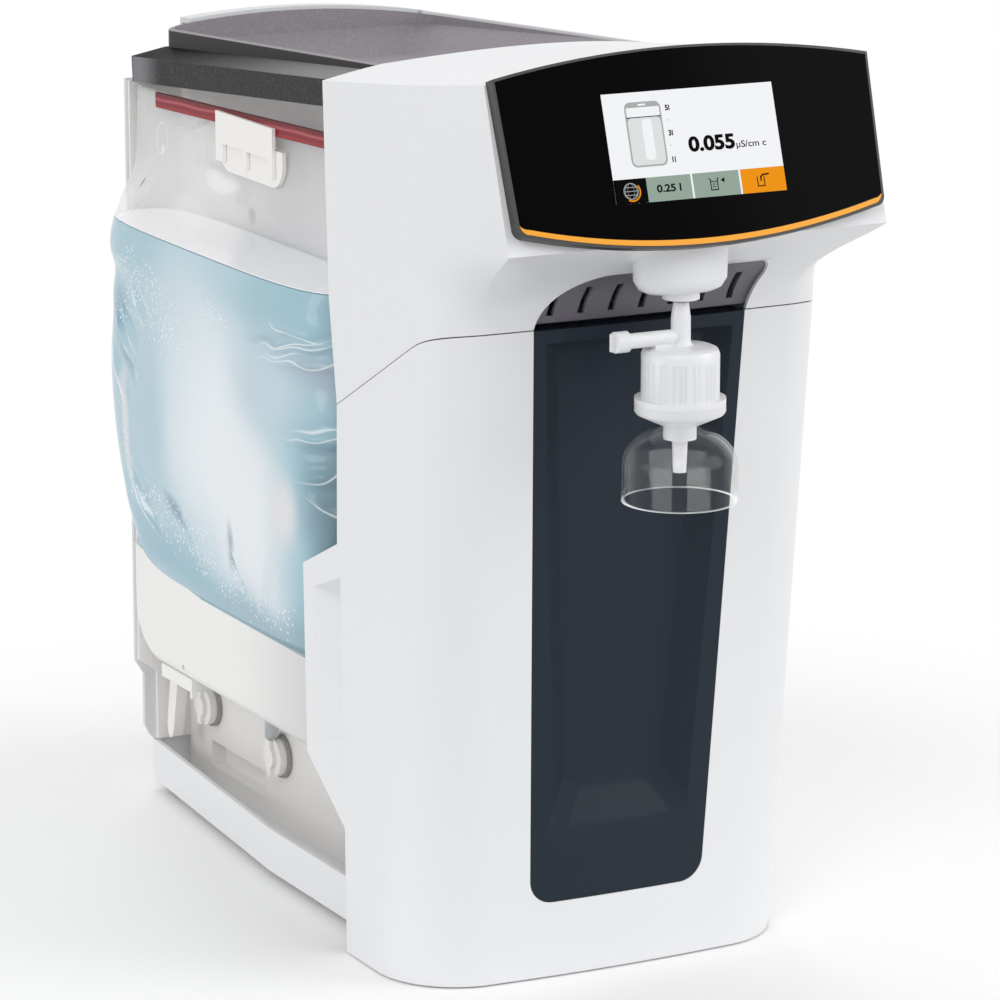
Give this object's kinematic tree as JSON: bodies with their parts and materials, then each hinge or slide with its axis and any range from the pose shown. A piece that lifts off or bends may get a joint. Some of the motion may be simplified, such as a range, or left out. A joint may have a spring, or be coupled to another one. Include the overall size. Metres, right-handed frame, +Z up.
{
  "type": "ultrapure water system",
  "caption": "Benchtop water purifier with tilted touch display, filter tap with clear bell, dish lid and an open side bay for a soft storage bag.",
  "frame": {"origin": "middle of the footprint on the bench surface", "axes": "front faces -Y, +X is to the right seen from the front, +Z is up"},
  "size_m": [0.2381, 0.5029, 0.4895],
  "materials": {
    "housing": "satin",
    "housing_back": "matte",
    "liner": "satin",
    "insert_dark": "matte",
    "hood_grey": "matte",
    "seal_black": "matte",
    "seal_grey": "matte",
    "steel": "brushed",
    "sheet_steel": "satin",
    "filter_white": "satin",
    "membrane": "matte",
    "clear_bell": "polished",
    "bezel_black": "satin",
    "panel_glass": "polished",
    "accent_orange": "satin",
    "screen_white": "lit",
    "board_green": "satin",
    "foot_rubber": "matte",
    "lid_grey": "satin",
    "dish_grey": "matte",
    "bag_film": "glossy",
    "zip_red": "satin",
    "hose_clear": "satin"
  },
  "bodies": {
    "housing": {"front_lower_cover": "housing", "front_upper_cover": "housing", "rear_panel": "housing_back", "base_tray": "housing", "bay_liner": "liner", "bag_cradle": "liner", "bag_clip": "liner", "bag_hanger": "liner", "front_insert": "insert_dark", "hood_louvre": "hood_grey", "nozzle_ring": "housing", "nozzle_seal": "seal_black", "dispense_spigot": "steel", "display_bezel": "bezel_black", "display_glass": "panel_glass", "accent_strip": "accent_orange", "display_screen": "screen_white", "display_board": "board_green", "feet": "foot_rubber", "lid_frame": "lid_grey", "storage_bag": "bag_film", "bag_zip": "zip_red", "coupling_seals": "seal_grey", "bag_hoses": "hose_clear", "lever_pin": "steel", "chassis_plate": "sheet_steel", "purification_cartridge": "filter_white", "manifold_head": "hood_grey", "osmosis_module": "filter_white", "pump_motor": "sheet_steel", "pump_head": "bezel_black", "lamp_housing": "steel", "dispense_valve": "bezel_black", "conductivity_cell": "steel", "power_supply": "sheet_steel", "main_board": "board_green", "board_posts": "steel", "internal_hoses": "hose_clear", "mains_inlet": "bezel_black", "switch_frame": "bezel_black", "feed_fitting": "hood_grey", "drain_fitting": "hood_grey", "panel_screws": "steel"},
    "filter": {"capsule_shell": "filter_white", "capsule_base": "filter_white", "capsule_membrane": "membrane"},
    "vent": {"vent_screw": "filter_white"},
    "bell": {"filling_bell": "clear_bell"},
    "lever": {"lock_lever": "liner"},
    "inlet_coupling": {"bag_inlet_coupling": "liner"},
    "outlet_coupling": {"bag_outlet_coupling": "liner"},
    "rocker": {"switch_rocker": "bezel_black"},
    "side_cover": {"right_cover": "housing"},
    "dish": {"lid_dish": "dish_grey"}
  },
  "joints": [
    {"name": "filter_release", "type": "slide", "parent": "housing", "child": "filter", "axis": [0, 0, -1], "range_m": [0, 0.03]},
    {"name": "bell_release", "type": "slide", "parent": "filter", "child": "bell", "axis": [0, 0, -1], "range_m": [0, 0.02]},
    {"name": "vent_turn", "type": "hinge", "parent": "filter", "child": "vent", "pos_m": [-0.03, -0.222, 0.346], "axis": [1, 0, 0], "range_deg": [0, 180]},
    {"name": "lever_swing", "type": "hinge", "parent": "housing", "child": "lever", "pos_m": [-0.0755, 0.225, 0.082], "axis": [1, 0, 0], "range_deg": [-75, 0]},
    {"name": "inlet_turn", "type": "hinge", "parent": "housing", "child": "inlet_coupling", "pos_m": [-0.065, 0.214, 0.057], "axis": [1, 0, 0], "range_deg": [0, 90]},
    {"name": "outlet_turn", "type": "hinge", "parent": "housing", "child": "outlet_coupling", "pos_m": [-0.065, 0.119, 0.051], "axis": [1, 0, 0], "range_deg": [0, 90]},
    {"name": "switch_rock", "type": "hinge", "parent": "housing", "child": "rocker", "pos_m": [0.039, 0.244, 0.121], "axis": [1, 0, 0], "range_deg": [0, 16]},
    {"name": "side_cover_release", "type": "slide", "parent": "housing", "child": "side_cover", "axis": [1, 0, 0], "range_m": [0, 0.06]},
    {"name": "dish_lift", "type": "slide", "parent": "housing", "child": "dish", "axis": [0, 0, 1], "range_m": [0, 0.05]}
  ]
}
